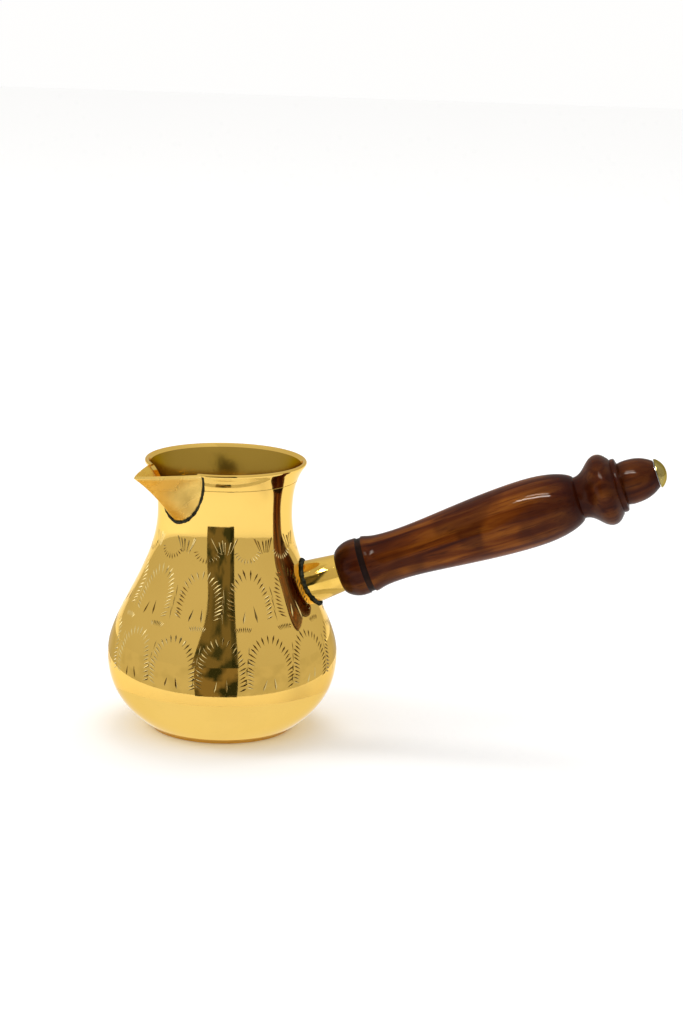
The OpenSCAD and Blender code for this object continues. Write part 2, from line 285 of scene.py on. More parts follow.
def setReflections():
    for name, parts in studio["curtains"].items():
        hangCurtain(name, *parts)
    for name, (place, aim, size, bright) in studio["bars"].items():
        hangCard(name, place, aim, size, (bright, bright * 0.93, bright * 0.84))
    place, size, colour = studio["barShade"]
    hangCard("barShade", place, (place[0], place[1], 0), size, colour)
    # the bright sheet glows for reflections only: a painted bright reflection on the lower belly, where the
    # floor under the pot lies in the pot's shadow
    inner, outer, bright = studio["brightSheet"]
    clearSelection()
    bpy.ops.mesh.primitive_circle_add(vertices=96, radius=inner, fill_type="NOTHING",
                                      location=(0, 0, studio["sheetLift"]))
    sheet = bpy.context.object
    sheet.name = "brightSheet"
    bpy.ops.object.mode_set(mode="EDIT")
    bpy.ops.mesh.select_all(action="SELECT")
    bpy.ops.mesh.extrude_region_move()
    bpy.ops.transform.resize(value=(outer / inner, outer / inner, 1))
    leaveEdit()
    sheet.data.materials.append(makeGlow("brightSheet", (bright, bright, bright * 0.97), (bright,) * 3))
    onlyReflected(sheet)


def hangCard(name, place, aim, size, colour):
    clearSelection()
    bpy.ops.mesh.primitive_plane_add(size=1, location=place)
    card = bpy.context.object
    card.name = name
    card.scale = (size[0], size[1], 1)
    card.rotation_euler = (Vector(aim) - Vector(place)).to_track_quat("-Z", "Y").to_euler()
    material = makeGlow(name, colour, tuple(v * 0.97 for v in colour))
    material.cycles.emission_sampling = "NONE"
    card.data.materials.append(material)
    onlyReflected(card)


def onlyReflected(flag):
    for ray in ("camera", "diffuse", "transmission", "volume_scatter", "shadow"):
        setattr(flag, "visible_" + ray, False)


def hangCurtain(name, radius, low, high, start, stop, lean, late, rise, main, second):
    # part of an open tube round the pot, in rings so that its edges can lean and rise
    rings = 16
    clearSelection()
    bpy.ops.mesh.primitive_cylinder_add(vertices=360, radius=radius, depth=(high - low) / rings,
                                        end_fill_type="NOTHING",
                                        location=(0, 0, low + (high - low) / rings / 2))
    flag = bpy.context.object
    flag.name = name
    bpy.ops.object.mode_set(mode="EDIT")
    for _ in range(rings - 1):
        mesh = bmesh.from_edit_mesh(flag.data)
        top = max(vert.co.z for vert in mesh.verts)
        for vert in mesh.verts:
            vert.select = vert.co.z > top - 1e-6
        mesh.select_flush(True)
        bmesh.update_edit_mesh(flag.data)
        bpy.ops.mesh.extrude_region_move(TRANSFORM_OT_translate={"value": (0, 0, (high - low) / rings)})
    leaveEdit()
    applyPlace(flag)
    editPiece(flag)
    mesh = bmesh.from_edit_mesh(flag.data)
    for face in mesh.faces:
        centre = face.calc_center_median()
        angle = (math.degrees(math.atan2(centre.y, centre.x)) - studio["front"] + 180) % 360 - 180
        face.select = not start <= angle <= stop
    bmesh.update_edit_mesh(flag.data)
    bpy.ops.mesh.delete(type="FACE")
    leaveEdit()
    for vert in flag.data.vertices:
        share = (vert.co.z - low) / (high - low)
        angle = (math.degrees(math.atan2(vert.co.y, vert.co.x)) - studio["front"] + 180) % 360 - 180
        angle += lean * max(0, share) ** late * (stop - angle) / (stop - start)
        turned = math.radians(angle + studio["front"])
        vert.co = (radius * math.cos(turned), radius * math.sin(turned),
                   vert.co.z + rise * (1 - math.cos(math.radians(angle))) * (1 - share))
    flag.data.materials.append(makeGlow(name, main, second))
    onlyReflected(flag)


setCamera()
setWorld()
setSoftboxes()
setFloor()
setReflections()
print("stage: camera, light and floor")


def newGroup(name, inputs, outputs):
    group = bpy.data.node_groups.new(name, "ShaderNodeTree")
    for label, kind, value in inputs:
        socket = group.interface.new_socket(label, in_out="INPUT", socket_type="NodeSocket" + kind)
        socket.default_value = value
    for label, kind in outputs:
        group.interface.new_socket(label, in_out="OUTPUT", socket_type="NodeSocket" + kind)
    start = group.nodes.new("NodeGroupInput")
    end = group.nodes.new("NodeGroupOutput")
    return group, start, end


def makeToneGroup():
    # cloudy change between two tones, with fine specks
    group, start, end = newGroup(
        "cloudy tone",
        [("Main", "Color", (1, 1, 1, 1)), ("Second", "Color", (0.5, 0.5, 0.5, 1)),
         ("Cloud Size", "Float", 60.0), ("Amount", "Float", 0.5)],
        [("Color", "Color"), ("Cloud", "Float"), ("Speck", "Float")])
    link = group.links.new
    place = addNode(group, "ShaderNodeTexCoord")
    cloud = addNode(group, "ShaderNodeTexNoise", in_Detail=5.0, in_Roughness=0.6)
    speck = addNode(group, "ShaderNodeTexNoise", in_Scale=900.0, in_Detail=3.0)
    spread = addNode(group, "ShaderNodeMapRange", interpolation_type="SMOOTHSTEP",
                     in_From_Min=0.38, in_From_Max=0.68)
    share = addNode(group, "ShaderNodeMath", operation="MULTIPLY")
    mix = addNode(group, "ShaderNodeMix", data_type="RGBA")
    link(place.outputs["Object"], cloud.inputs["Vector"])
    link(place.outputs["Object"], speck.inputs["Vector"])
    link(start.outputs["Cloud Size"], cloud.inputs["Scale"])
    link(cloud.outputs["Fac"], spread.inputs["Value"])
    link(spread.outputs["Result"], share.inputs[0])
    link(start.outputs["Amount"], share.inputs[1])
    link(share.outputs[0], mix.inputs["Factor"])
    link(start.outputs["Main"], mix.inputs["A"])
    link(start.outputs["Second"], mix.inputs["B"])
    link(mix.outputs["Result"], end.inputs["Color"])
    link(spread.outputs["Result"], end.inputs["Cloud"])
    link(speck.outputs["Fac"], end.inputs["Speck"])
    return group


def makeSurfaceGroup():
    # slow waves left by the spinning lathe and fine polishing scratches, as one height
    group, start, end = newGroup(
        "hand finish",
        [("Wave Size", "Float", 45.0), ("Wave", "Float", 1.0),
         ("Scratch", "Float", 0.2), ("Stretch", "Vector", (1.0, 1.0, 6.0))],
        [("Height", "Float"), ("Scratches", "Float")])
    link = group.links.new
    place = addNode(group, "ShaderNodeTexCoord")
    wave = addNode(group, "ShaderNodeTexNoise", in_Detail=1.0, in_Roughness=0.3)
    stretch = addNode(group, "ShaderNodeVectorMath", operation="MULTIPLY")
    scratch = addNode(group, "ShaderNodeTexNoise", in_Scale=700.0, in_Detail=4.0, in_Roughness=0.7)
    sharpen = addNode(group, "ShaderNodeMapRange", in_From_Min=0.55, in_From_Max=0.75)
    waveShare = addNode(group, "ShaderNodeMath", operation="MULTIPLY")
    scratchShare = addNode(group, "ShaderNodeMath", operation="MULTIPLY")
    both = addNode(group, "ShaderNodeMath", operation="ADD")
    link(place.outputs["Object"], wave.inputs["Vector"])
    link(start.outputs["Wave Size"], wave.inputs["Scale"])
    link(place.outputs["Object"], stretch.inputs[0])
    link(start.outputs["Stretch"], stretch.inputs[1])
    link(stretch.outputs[0], scratch.inputs["Vector"])
    link(scratch.outputs["Fac"], sharpen.inputs["Value"])
    link(wave.outputs["Fac"], waveShare.inputs[0])
    link(start.outputs["Wave"], waveShare.inputs[1])
    link(sharpen.outputs["Result"], scratchShare.inputs[0])
    link(start.outputs["Scratch"], scratchShare.inputs[1])
    link(waveShare.outputs[0], both.inputs[0])
    link(scratchShare.outputs[0], both.inputs[1])
    link(both.outputs[0], end.inputs["Height"])
    link(sharpen.outputs["Result"], end.inputs["Scratches"])
    return group


toneGroup = makeToneGroup()
surfaceGroup = makeSurfaceGroup()


def makeMetal(name, look):
    # a metal from the two shared groups; roughness runs from low to high with the clouds
    material = bpy.data.materials.new(name)
    material.use_nodes = True
    tree = material.node_tree
    link = tree.links.new
    shader = tree.nodes["Principled BSDF"]
    shader.inputs["Metallic"].default_value = look.get("metal", 1.0)
    shader.inputs["Specular Tint"].default_value = (*look.get("edge", (1.0, 1.0, 1.0)), 1)
    tone = addNode(tree, "ShaderNodeGroup", node_tree=toneGroup, in_Main=(*look["tone"], 1),
                   in_Second=(*look["tarnish"], 1), in_Cloud_Size=look["cloudSize"],
                   in_Amount=look["amount"])
    link(tone.outputs["Color"], shader.inputs["Base Color"])
    finish = addNode(tree, "ShaderNodeGroup", node_tree=surfaceGroup, in_Wave_Size=look["waveSize"],
                     in_Wave=look["wave"], in_Scratch=look["scratch"], in_Stretch=look["stretch"])
    rough = addNode(tree, "ShaderNodeMapRange", in_To_Min=look["rough"][0], in_To_Max=look["rough"][1])
    link(tone.outputs["Cloud"], rough.inputs["Value"])
    link(rough.outputs["Result"], shader.inputs["Roughness"])
    bump = addNode(tree, "ShaderNodeBump", in_Strength=look["bump"], in_Distance=0.1 * mm)
    link(finish.outputs["Height"], bump.inputs["Height"])
    link(bump.outputs["Normal"], shader.inputs["Normal"])
    return material


def makeWood(name, look):
    # stained wood under lacquer, with the grain along the handle and painted shade along its length
    material = bpy.data.materials.new(name)
    material.use_nodes = True
    tree = material.node_tree
    link = tree.links.new
    shader = tree.nodes["Principled BSDF"]
    shader.inputs["Coat Weight"].default_value = look["lacquer"]
    shader.inputs["Coat Roughness"].default_value = look["lacquerRough"]
    shader.inputs["Coat IOR"].default_value = look["lacquerIndex"]
    shader.inputs["Specular IOR Level"].default_value = look["specular"]
    place = addNode(tree, "ShaderNodeTexCoord")
    along = addNode(tree, "ShaderNodeMapping")
    along.inputs["Rotation"].default_value = (0, -math.radians(90 - handle["rise"]), 0)
    squeeze = addNode(tree, "ShaderNodeVectorMath", operation="MULTIPLY")
    squeeze.inputs[1].default_value = (1, 1, look["grainStretch"])
    figure = addNode(tree, "ShaderNodeTexNoise", in_Scale=look["figureSize"], in_Detail=5.0,
                     in_Distortion=0.8)
    pores = addNode(tree, "ShaderNodeTexNoise", in_Scale=look["poreSize"], in_Detail=3.0)
    ramp = addNode(tree, "ShaderNodeValToRGB")
    ramp.color_ramp.elements[0].position = 0.32
    ramp.color_ramp.elements[0].color = (*look["dark"], 1)
    ramp.color_ramp.elements[1].position = 0.70
    ramp.color_ramp.elements[1].color = (*look["light"], 1)
    middle = ramp.color_ramp.elements.new(0.47)
    middle.color = (*look["middle"], 1)
    poreMask = addNode(tree, "ShaderNodeMapRange", in_From_Min=0.55, in_From_Max=0.75, in_To_Max=0.6)
    mix = addNode(tree, "ShaderNodeMix", data_type="RGBA", in_B=(*look["pore"], 1))
    split = addNode(tree, "ShaderNodeSeparateXYZ")
    # painted shade along the handle, darker at the front bead, the neck, the step crease and the end, mixed
    # towards the deep colour together with random darker clouds
    onAxis = addNode(tree, "ShaderNodeMapRange", in_From_Min=look["axisFrom"],
                     in_From_Max=look["axisFrom"] + handle["length"] * mm)
    shadeAlongAxis = addNode(tree, "ShaderNodeValToRGB")
    band = shadeAlongAxis.color_ramp
    band.elements[0].color = (look["shadeAlongAxis"][0][1],) * 3 + (1,)
    band.elements[1].position = 1.0
    band.elements[1].color = (look["shadeAlongAxis"][-1][1],) * 3 + (1,)
    for spot, depth in look["shadeAlongAxis"][1:-1]:
        band.elements.new(spot).color = (depth, depth, depth, 1)
    cloud = addNode(tree, "ShaderNodeTexNoise", in_Scale=look["cloudSize"], in_Detail=2.0)
    cloudMask = addNode(tree, "ShaderNodeMapRange", interpolation_type="SMOOTHSTEP",
                        in_From_Min=0.45, in_From_Max=0.65, in_To_Min=1.0, in_To_Max=0.45)
    shade = addNode(tree, "ShaderNodeMath", operation="MULTIPLY")
    deep = addNode(tree, "ShaderNodeMix", data_type="RGBA", in_A=(*look["deep"], 1))
    rough = addNode(tree, "ShaderNodeMapRange", in_To_Min=look["rough"][0], in_To_Max=look["rough"][1])
    bump = addNode(tree, "ShaderNodeBump", in_Strength=look["bump"], in_Distance=0.05 * mm)
    link(place.outputs["Object"], along.inputs["Vector"])
    link(along.outputs["Vector"], squeeze.inputs[0])
    link(squeeze.outputs[0], figure.inputs["Vector"])
    link(squeeze.outputs[0], pores.inputs["Vector"])
    link(figure.outputs["Fac"], ramp.inputs["Fac"])
    link(pores.outputs["Fac"], poreMask.inputs["Value"])
    link(poreMask.outputs["Result"], mix.inputs["Factor"])
    link(ramp.outputs["Color"], mix.inputs["A"])
    link(along.outputs["Vector"], split.inputs[0])
    link(split.outputs["Z"], onAxis.inputs["Value"])
    link(onAxis.outputs["Result"], shadeAlongAxis.inputs["Fac"])
    link(place.outputs["Object"], cloud.inputs["Vector"])
    link(cloud.outputs["Fac"], cloudMask.inputs["Value"])
    link(shadeAlongAxis.outputs["Color"], shade.inputs[0])
    link(cloudMask.outputs["Result"], shade.inputs[1])
    link(shade.outputs[0], deep.inputs["Factor"])
    link(mix.outputs["Result"], deep.inputs["B"])
    link(deep.outputs["Result"], shader.inputs["Base Color"])
    link(pores.outputs["Fac"], rough.inputs["Value"])
    link(rough.outputs["Result"], shader.inputs["Roughness"])
    link(pores.outputs["Fac"], bump.inputs["Height"])
    link(bump.outputs["Normal"], shader.inputs["Normal"])
    return material


even = (1.0, 1.0, 1.0)
# edge is the colour at a glancing angle; the clouds mix tone and tarnish and set the roughness
finishes = dict(
    polishedBrass=dict(edge=(0.95, 0.84, 0.60), tone=(0.90, 0.595, 0.150), tarnish=(0.82, 0.53, 0.125),
                       cloudSize=30.0, amount=0.4,
                       rough=(0.035, 0.08), waveSize=38.0, wave=1.6, scratch=0.02, stretch=(1, 1, 5),
                       bump=0.5),
    # the inside wall is the same brass, painted about half as bright as the outside: painted shade in the
    # hollow of the pot, on a rougher inside finish
    shadedInsideBrass=dict(edge=(0.6, 0.42, 0.12), tone=(0.43, 0.27, 0.045), tarnish=(0.30, 0.18, 0.025),
                     cloudSize=16.0, amount=0.7, rough=(0.22, 0.32), waveSize=60.0, wave=0.4,
                     scratch=0.35, stretch=(1.0, 1.0, 0.02), bump=0.6),
    # the cuts use lit and shaded copies of the brass: cutLine is painted shade inside every cut,
    # cutHighlight is a painted highlight on one wall of each cut
    cutLine=dict(tone=(0.20, 0.11, 0.02), tarnish=(0.06, 0.035, 0.01), cloudSize=240.0, amount=0.7,
                 rough=(0.2, 0.4), waveSize=400.0, wave=0.4, scratch=0.2, stretch=even, bump=0.5),
    cutHighlight=dict(tone=(1.0, 0.80, 0.36), tarnish=(0.80, 0.54, 0.16), cloudSize=240.0, amount=0.6,
                 rough=(0.12, 0.25), waveSize=400.0, wave=0.4, scratch=0.2, stretch=even, bump=0.5),
    sheetBrass=dict(edge=(0.9, 0.72, 0.36), tone=(0.97, 0.67, 0.19), tarnish=(0.88, 0.56, 0.13),
                    cloudSize=70.0, amount=0.6, rough=(0.20, 0.34), waveSize=110.0, wave=1.6,
                    scratch=0.3, stretch=(1, 3, 1), bump=0.5),
    tubeBrass=dict(tone=(0.86, 0.56, 0.12), tarnish=(0.62, 0.38, 0.06), cloudSize=90.0, amount=0.5,
                   rough=(0.05, 0.12), waveSize=150.0, wave=0.8, scratch=0.05, stretch=(5, 1, 5), bump=0.5),
    capBrass=dict(edge=(0.6, 0.5, 0.25), tone=(0.40, 0.32, 0.11), tarnish=(0.20, 0.16, 0.06),
                  cloudSize=220.0, amount=0.8,
                  rough=(0.16, 0.34), waveSize=300.0, wave=0.7, scratch=0.2, stretch=even, bump=0.6),
    solderMetal=dict(edge=(0.3, 0.3, 0.24), tone=(0.040, 0.042, 0.028), tarnish=(0.008, 0.010, 0.007),
                     cloudSize=420.0, amount=0.9, metal=0.6, rough=(0.5, 0.75), waveSize=700.0, wave=3.0,
                     scratch=0.3, stretch=even, bump=1.0),
    zincSteel=dict(tone=(0.50, 0.51, 0.52), tarnish=(0.30, 0.30, 0.29), cloudSize=260.0, amount=0.6,
                   rough=(0.22, 0.42), waveSize=300.0, wave=0.5, scratch=0.3, stretch=even, bump=0.5),
)
woodLook = dict(dark=(0.034, 0.0042, 0.0003), middle=(0.105, 0.022, 0.0012), light=(0.235, 0.070, 0.006),
                pore=(0.014, 0.002, 0.0003), deep=(0.020, 0.0016, 0.0004), figureSize=230.0, poreSize=1500.0,
                grainStretch=0.055, cloudSize=60.0, axisFrom=0.0620,
                # how light the wood is painted from the front face to the end: painted shade on the front
                # bead, in the neck before the ring, in the crease at the step and at the end
                shadeAlongAxis=[(0.0, 0.30), (0.06, 0.40), (0.09, 0.65), (0.16, 0.8), (0.30, 1.0), (0.55, 1.0),
                       (0.66, 0.50), (0.745, 0.10), (0.79, 0.30), (0.835, 0.5), (0.865, 0.2), (0.885, 0.15),
                       (0.93, 0.5), (1.0, 0.25)],
                lacquer=0.30, lacquerRough=0.03, lacquerIndex=1.32, specular=0.03,
                rough=(0.4, 0.55), bump=0.3)


pot = dict(
    bellyDiameter=86.0, bellyHeight=28.0, baseDiameter=53.2, neckDiameter=50.0, neckHeight=82.2,
    rimDiameter=60.0, rimHeight=102.0, wall=1.6, floor=1.8, cornerRadius=0.5,
    baseAngle=38.0, rimAngle=54.0,
    lineBelowRim=6.7, lineWidth=0.36, lineDepth=0.16,
    stepsRound=288,
)


def potOuter():
    # the outside of the wall from base to rim, as [radius, height]
    half = pot["wall"] / 2
    low, belly = pot["cornerRadius"], pot["bellyDiameter"] / 2
    base, neck = pot["baseDiameter"] / 2, pot["neckDiameter"] / 2
    bellyZ, neckZ, rimZ = pot["bellyHeight"], pot["neckHeight"], pot["rimHeight"]
    baseDir = [math.cos(math.radians(pot["baseAngle"])), math.sin(math.radians(pot["baseAngle"]))]
    rimDir = [math.cos(math.radians(pot["rimAngle"])), math.sin(math.radians(pot["rimAngle"]))]
    end = (pot["rimDiameter"] / 2 - half * (1 - rimDir[1]), rimZ - half * (1 + rimDir[0]))
    rise, flare = neckZ - bellyZ, rimZ - neckZ
    points = curve((base, low), (base + 6.3 * baseDir[0], low + 6.3 * baseDir[1]),
                   (belly, bellyZ * 0.4), (belly, bellyZ), 22)
    points += curve((belly, bellyZ), (belly, bellyZ + 0.29 * rise),
                    (neck, neckZ - 0.39 * rise), (neck, neckZ), 34)[1:]
    points += curve((neck, neckZ), (neck, neckZ + 0.4 * flare),
                    (end[0] - 0.33 * flare * rimDir[0], end[1] - 0.33 * flare * rimDir[1]), end, 18)[1:]
    return points, rimDir


outerLine, rimDirection = potOuter()


def wallAt(height):
    # radius and upward direction of the outside at a height in millimetres
    for (r0, z0), (r1, z1) in zip(outerLine, outerLine[1:]):
        if z1 >= height or (r1, z1) == outerLine[-1]:
            share = (height - z0) / (z1 - z0)
            long = math.hypot(r1 - r0, z1 - z0)
            return r0 + (r1 - r0) * share, ((r1 - r0) / long, (z1 - z0) / long)


def smoothDirection(height):
    # the wall's direction taken over a few tenths of a millimetre, for even normals
    low = max(outerLine[0][1], height - 0.7)
    high = min(outerLine[-1][1], height + 0.7)
    r0, r1 = wallAt(low)[0], wallAt(high)[0]
    long = math.hypot(r1 - r0, high - low)
    return (r1 - r0) / long, (high - low) / long


def movedIn(points, distance):
    moved = []
    for i, (r, z) in enumerate(points):
        a, b = points[max(i - 1, 0)], points[min(i + 1, len(points) - 1)]
        long = math.hypot(b[0] - a[0], b[1] - a[1])
        moved.append((r - distance * (b[1] - a[1]) / long, z + distance * (b[0] - a[0]) / long))
    return moved


def potOutline():
    half = pot["wall"] / 2
    lineZ = pot["rimHeight"] - pot["lineBelowRim"]
    outer = []
    for here, there in zip(outerLine, outerLine[1:] + [None]):
        outer.append(here)
        if there and here[1] < lineZ <= there[1]:     # the fine line turned in under the rim
            r = wallAt(lineZ)[0]
            outer += [(wallAt(lineZ - pot["lineWidth"] / 2)[0], lineZ - pot["lineWidth"] / 2),
                      (r - pot["lineDepth"], lineZ),
                      (wallAt(lineZ + pot["lineWidth"] / 2)[0], lineZ + pot["lineWidth"] / 2)]
    end = outerLine[-1]
    across = (-rimDirection[1], rimDirection[0])
    centre = (end[0] + half * across[0], end[1] + half * across[1])
    lip = []
    for i in range(1, 12):
        a = math.pi * i / 12
        lip.append(tuple(c + half * (d * math.sin(a) - n * math.cos(a))
                         for c, d, n in zip(centre, rimDirection, across)))
    inner = [p for p in movedIn(outerLine, pot["wall"]) if p[1] > pot["floor"] + 1.0]
    corner = inner[0]
    base = pot["baseDiameter"] / 2
    return ([(0, 0.35), (base - 7, 0.35), (base - 5, 0.0), (base - 0.5, 0.0), (base - 0.15, 0.15)]
            + outer + lip + inner[::-1]
            + [(corner[0] - 1.0, pot["floor"] + 0.25), (corner[0] - 2.2, pot["floor"]), (0, pot["floor"])])


spout = dict(direction=-127.3, reach=17.4, seamHeight=20.0, halfAngle=27.0, sheet=1.0, dropBelowRim=0.8,
             notchMargin=2.2, keelPower=0.85, sidePower=1.2, rows=22, columns=40)
spoutLow = pot["rimHeight"] - spout["seamHeight"]
spoutTop = pot["rimHeight"] - spout["dropBelowRim"]


def seamPoint(turn, margin=0.0):
    # half an ellipse on the wall: angle from the spout's middle and height, at turn -90 to 90
    half = spout["halfAngle"] - math.degrees(margin / (pot["rimDiameter"] / 2))
    low = spoutLow + margin
    turn = math.radians(turn)
    return half * math.sin(turn), low + (spoutTop - low) * (1 - math.cos(turn))


def makeNotchCutter():
    # a flat half ellipse, narrowed row by row to follow the wall, then pushed through it
    clearSelection()
    bpy.ops.mesh.primitive_plane_add(size=mm, location=(0, 0, 0))
    cutter = bpy.context.object
    bpy.ops.object.mode_set(mode="EDIT")
    bpy.ops.mesh.select_all(action="SELECT")
    bpy.ops.mesh.merge(type="CENTER")
    edge = []
    for i in range(-24, 25):
        angle, z = seamPoint(90 * i / 24, spout["notchMargin"])
        edge.append(Vector((15, wallAt(z)[0] * math.sin(math.radians(angle)), z)) * mm)
    edge = [Vector((15 * mm, edge[0].y, 106 * mm))] + edge + [Vector((15 * mm, edge[-1].y, 106 * mm))]
    bpy.ops.transform.translate(value=edge[0])
    for here, there in zip(edge, edge[1:]):
        bpy.ops.mesh.extrude_vertices_move(TRANSFORM_OT_translate={"value": there - here})
    bpy.ops.mesh.select_all(action="SELECT")
    bpy.ops.mesh.edge_face_add()
    bpy.ops.mesh.extrude_region_move(TRANSFORM_OT_translate={"value": (25 * mm, 0, 0)})
    bpy.ops.mesh.select_all(action="SELECT")
    bpy.ops.mesh.normals_make_consistent(inside=False)
    leaveEdit()
    cutter.rotation_euler = (0, 0, math.radians(spout["direction"]))
    applyPlace(cutter)
    return cutter


# every length is in millimetres and every angle in degrees
engraving = dict(
    tickLength=3.7, tickWidth=0.70, tickDepth=0.25, tickGap=1.42,
    lowArches=dict(count=14, first=-84.2, foot=24.5, height=16.5, halfWidth=6.2),
    midArches=dict(count=11, first=-99.5, foot=48.5, height=15.5, halfWidth=5.4),
    socketGap=16,       # the middle row leaves this much free on both sides of the socket
    # strokes inside an arch: sideways, up, lean, length
    strokes=[(-2.3, 2.6, 16, 5.4), (1.6, 3.4, -6, 6.6)], strokeWidth=0.88, strokeDepth=0.25,
    lineOverlap=1.35, lineWidth=0.34, lineDepth=0.11,
    fan=dict(ticks=9, spread=60, inset=0.82, across=5.2, rise=2.5, up=20.3, length=2.3, width=0.45,
             depth=0.17),
    sprays=dict(count=11, first=-83.0, foot=64.5, strokes=6, spread=48, reach=7.5, up=6.5, width=0.56,
                depth=0.19),
    # the bow of ticks beside a spray: place of its middle, its half width and height
    bow=dict(ticks=11, start=200, step=14, side=8.6, up=9.5, halfWidth=4.6, height=4.4, length=2.2,
             width=0.45, depth=0.17),
)


def makeChisel(materials):
    # one chisel mark: a kite-shaped pyramid, point down, wide towards its end
    clearSelection()
    bpy.ops.mesh.primitive_cone_add(vertices=4, radius1=0.5, radius2=0, depth=1, location=(0, 0, 0))
    mark = bpy.context.object
    mark.name = "chiselMark"
    bpy.ops.object.mode_set(mode="EDIT")
    bpy.ops.mesh.select_all(action="SELECT")
    bpy.ops.transform.resize(value=(1, 1, -1))
    mesh = bmesh.from_edit_mesh(mark.data)
    for vert in mesh.verts:
        vert.select = abs(vert.co.x) < 0.1
    mesh.select_flush(True)
    bmesh.update_edit_mesh(mark.data)
    bpy.ops.transform.translate(value=(0.16, 0, 0))
    bpy.ops.mesh.select_all(action="SELECT")
    bpy.ops.transform.translate(value=(0, 0, -0.3))      # four fifths of it goes into the wall
    bpy.ops.mesh.normals_make_consistent(inside=False)
    leaveEdit()
    for material in materials:
        mark.data.materials.append(material)
    # every wall of a mark first takes the painted shade of the cuts
    facing(mark, lambda face: True, 2)
    facing(mark, lambda face: face.center.y > 0.02, 3)      # the one wall that gets the painted highlight; the other walls keep the painted shade
    return mark


arcTable = [(0.0, *outerLine[0])]
for (r0, z0), (r1, z1) in zip(outerLine, outerLine[1:]):
    arcTable.append((arcTable[-1][0] + math.hypot(r1 - r0, z1 - z0), r1, z1))


def heightUp(foot, along):
    # the height reached by going up the wall from a foot height
    footArc = next(s0 + (foot - z0) / (z1 - z0) * (s1 - s0)
                   for (s0, _, z0), (s1, _, z1) in zip(arcTable, arcTable[1:]) if z1 >= foot)
    for (s0, _, z0), (s1, _, z1) in zip(arcTable, arcTable[1:]):
        if s1 >= footArc + along:
            return z0 + (z1 - z0) * (footArc + along - s0) / (s1 - s0)
    return arcTable[-1][2]


marks = []


def cutMark(chisel, middle, foot, u, v, lean, length, width, depth):
    # middle is the motif's angle round the pot; u goes round and v up the wall, in millimetres
    height = heightUp(foot, v)
    radius, _ = wallAt(height)
    up = smoothDirection(height)
    angle = math.radians(middle) + u / radius
    outward = Vector((up[1] * math.cos(angle), up[1] * math.sin(angle), -up[0]))
    around = Vector((-math.sin(angle), math.cos(angle), 0))
    upward = outward.cross(around)
    lean = math.radians(lean)
    alongMark = (upward * math.cos(lean) + around * math.sin(lean)).normalized()
    side = outward.cross(alongMark)
    turn = Matrix((alongMark, side, outward)).transposed().to_4x4()
    size = Matrix.Diagonal((length * 1.25 * mm, width * 1.25 * mm, depth * 1.25 * mm, 1))
    place = Vector((radius * math.cos(angle), radius * math.sin(angle), height)) * mm
    mark = chisel.copy()
    mark.data = chisel.data.copy()
    mark.matrix_world = Matrix.Translation(place) @ turn @ size
    bpy.context.collection.objects.link(mark)
    marks.append(mark)


def jitter(amount):
    return handmade.uniform(-amount, amount)


def cutArch(chisel, middle, row):
    # ticks that fan out round a horseshoe
    path = []
    for i in range(201):
        t = math.pi * i / 200
        path.append((-row["halfWidth"] * math.cos(t), row["height"] * math.sin(t) ** 0.75))
    travelled, wanted = 0.0, 0.4
    for a, b in zip(path, path[1:]):
        travelled += math.dist(a, b)
        if travelled < wanted:
            continue
        wanted += engraving["tickGap"] + jitter(0.15)
        along = ((b[0] - a[0]) / math.dist(a, b), (b[1] - a[1]) / math.dist(a, b))
        out = (-along[1], along[0] + 0.45)
        long = math.hypot(*out)
        lean = math.degrees(math.atan2(out[0], out[1])) + jitter(6)
        length = engraving["tickLength"] * (1 + jitter(0.14))
        u = b[0] + out[0] / long * length * 0.55
        v = b[1] + out[1] / long * length * 0.55
        cutMark(chisel, middle, row["foot"], u, v, lean, length,
                engraving["tickWidth"] * (1 + jitter(0.2)), engraving["tickDepth"])
    for u, v, lean, length in engraving["strokes"]:
        cutMark(chisel, middle, row["foot"], u + jitter(0.5), v + jitter(0.7), 180 + lean + jitter(5),
                length * (1 + jitter(0.15)), engraving["strokeWidth"], engraving["strokeDepth"])


def cutLine(chisel, middle, foot, u, v, lean, length):
    # a long thin line of short strokes that follow the curved wall
    parts = max(1, round(length / 4))
    for i in range(parts):
        share = (i + 0.5) / parts - 0.5
        cutMark(chisel, middle, foot, u + share * length * math.sin(math.radians(lean)),
                v + share * length * math.cos(math.radians(lean)), lean,
                length / parts * engraving["lineOverlap"], engraving["lineWidth"], engraving["lineDepth"])


def cutSpray(chisel, middle):
    # long strokes that spread upwards, and a hanging bow of ticks beside them
    spray, bow = engraving["sprays"], engraving["bow"]
    for i in range(spray["strokes"]):
        lean = -spray["spread"] / 2 + spray["spread"] * i / (spray["strokes"] - 1) + jitter(4)
        reach = spray["reach"] + jitter(1.2)
        cutMark(chisel, middle, spray["foot"], math.sin(math.radians(lean)) * reach * 0.9,
                spray["up"] + reach * 0.5, lean, reach, spray["width"], spray["depth"])
    for i in range(bow["ticks"]):
        a = math.radians(bow["start"] + bow["step"] * i)
        cutMark(chisel, middle, spray["foot"], bow["halfWidth"] * math.cos(a) + bow["side"],
                bow["height"] * math.sin(a) + bow["up"], 90 - math.degrees(a) + jitter(6),
                bow["length"] * (1 + jitter(0.12)), bow["width"], bow["depth"])


